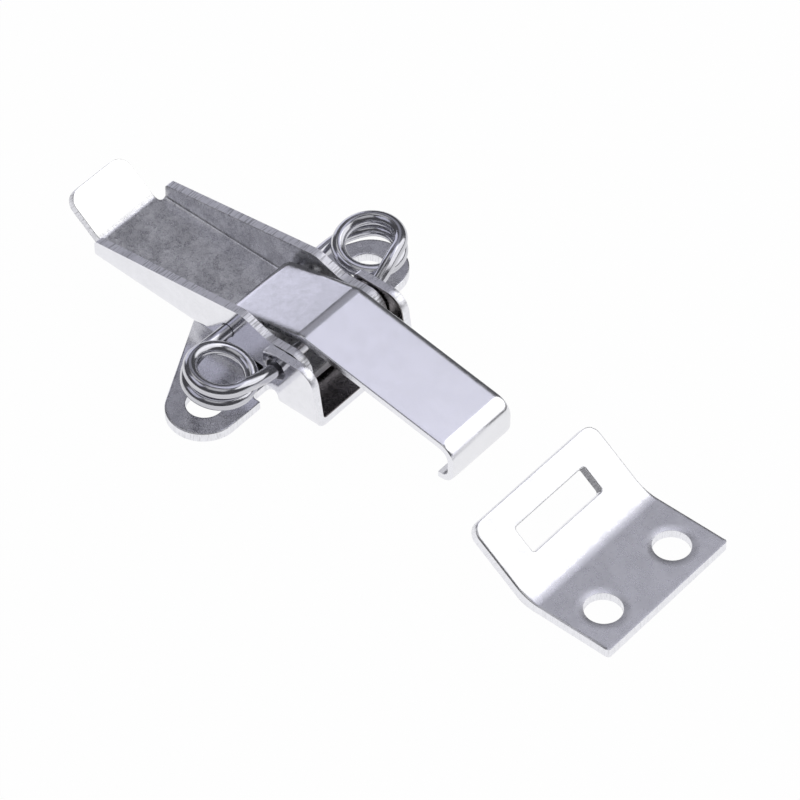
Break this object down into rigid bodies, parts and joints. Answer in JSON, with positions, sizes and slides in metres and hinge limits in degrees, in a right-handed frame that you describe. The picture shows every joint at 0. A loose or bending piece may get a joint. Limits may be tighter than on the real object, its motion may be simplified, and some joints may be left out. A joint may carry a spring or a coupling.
{
  "type": "over centre toggle latch with strike plate",
  "caption": "Spring loaded over centre toggle latch of folded steel, with a lever, a hooked draw claw and a separate slotted strike plate to draw against.",
  "frame": {"origin": "midway between the two screw holes of the base bracket, on its mounting face", "axes": "+X from the latch towards the strike plate, along the pull; +Y across the latch, along the pivots; +Z away from the mounting face"},
  "size_m": [0.1091, 0.047, 0.0115],
  "materials": {
    "base_steel": "bright stainless sheet, satin, with sheared edges",
    "lever_steel": "bright stainless sheet, satin, with sheared edges",
    "claw_steel": "smooth bright stainless sheet",
    "spring_steel": "polished round spring wire",
    "strike_steel": "bright stainless sheet, satin, with sheared edges"
  },
  "bodies": {
    "base": {"base_bracket": "base_steel", "strike_plate": "strike_steel"},
    "lever": {"lever_handle": "lever_steel", "spring_left": "spring_steel", "spring_right": "spring_steel"},
    "claw": {"draw_claw": "claw_steel"}
  },
  "joints": [
    {"name": "lever_hinge", "type": "hinge", "parent": "base", "child": "lever", "pos_m": [0.007, 0, 0.0073], "axis": [0, 1, 0], "range_deg": [0, 150]},
    {"name": "claw_hinge", "type": "hinge", "parent": "lever", "child": "claw", "pos_m": [-0.0036, 0, 0.00658], "axis": [0, 1, 0], "range_deg": [-157.5, 0]}
  ],
  "couplings": [
    {"joint": "claw_hinge", "follows": "lever_hinge", "ratio": -1.05}
  ]
}
